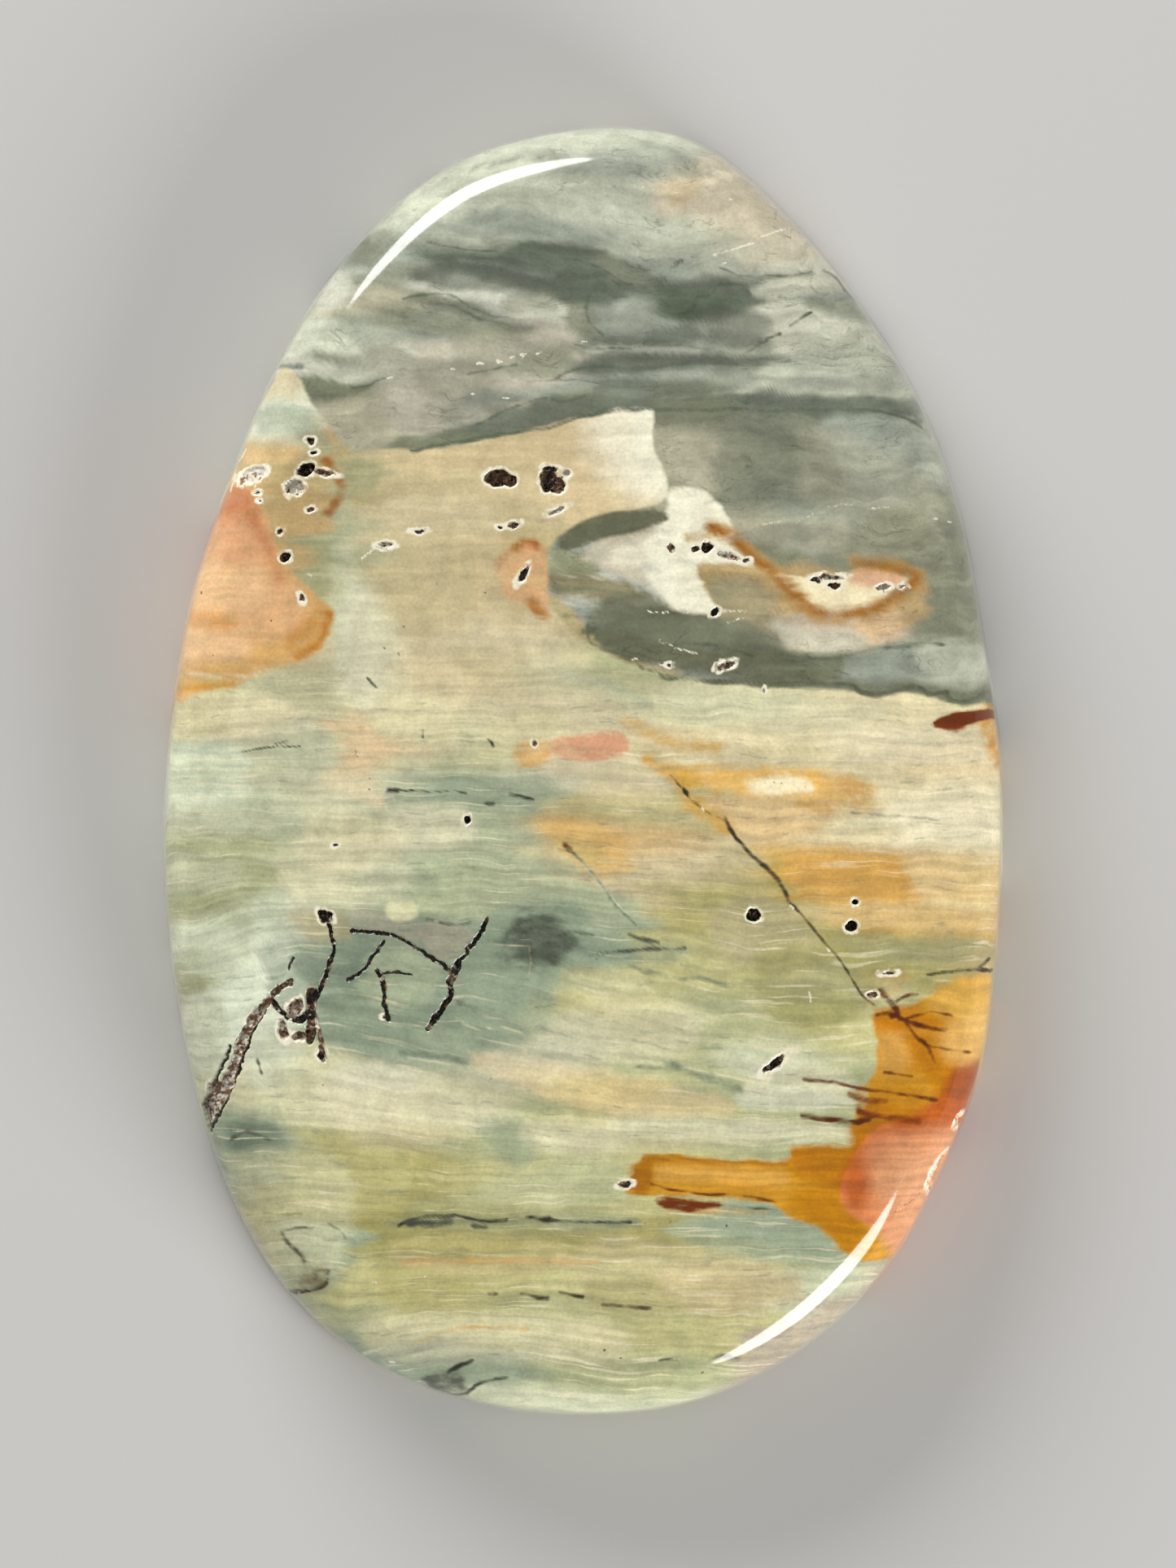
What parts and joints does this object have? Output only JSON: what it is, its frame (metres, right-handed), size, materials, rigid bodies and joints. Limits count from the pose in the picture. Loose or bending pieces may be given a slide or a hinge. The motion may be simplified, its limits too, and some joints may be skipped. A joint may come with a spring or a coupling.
{
  "type": "petrified wood jasper cabochon",
  "caption": "Freeform oval jasper cabochon with a flat lapped back, a low edge, a rounded shoulder and a gently domed polished face with crystal-lined vugs.",
  "frame": {"origin": "on the plane of the flat back, under the middle of the stone's length and width", "axes": "+Z out of the polished face, +Y along the stone's length to its narrow end, +X across its width to the right of that, looking down on the face"},
  "size_m": [0.0326, 0.05, 0.006],
  "materials": {
    "jasper": "polished"
  },
  "bodies": {
    "root": {"cabochon": "jasper"}
  },
  "joints": []
}
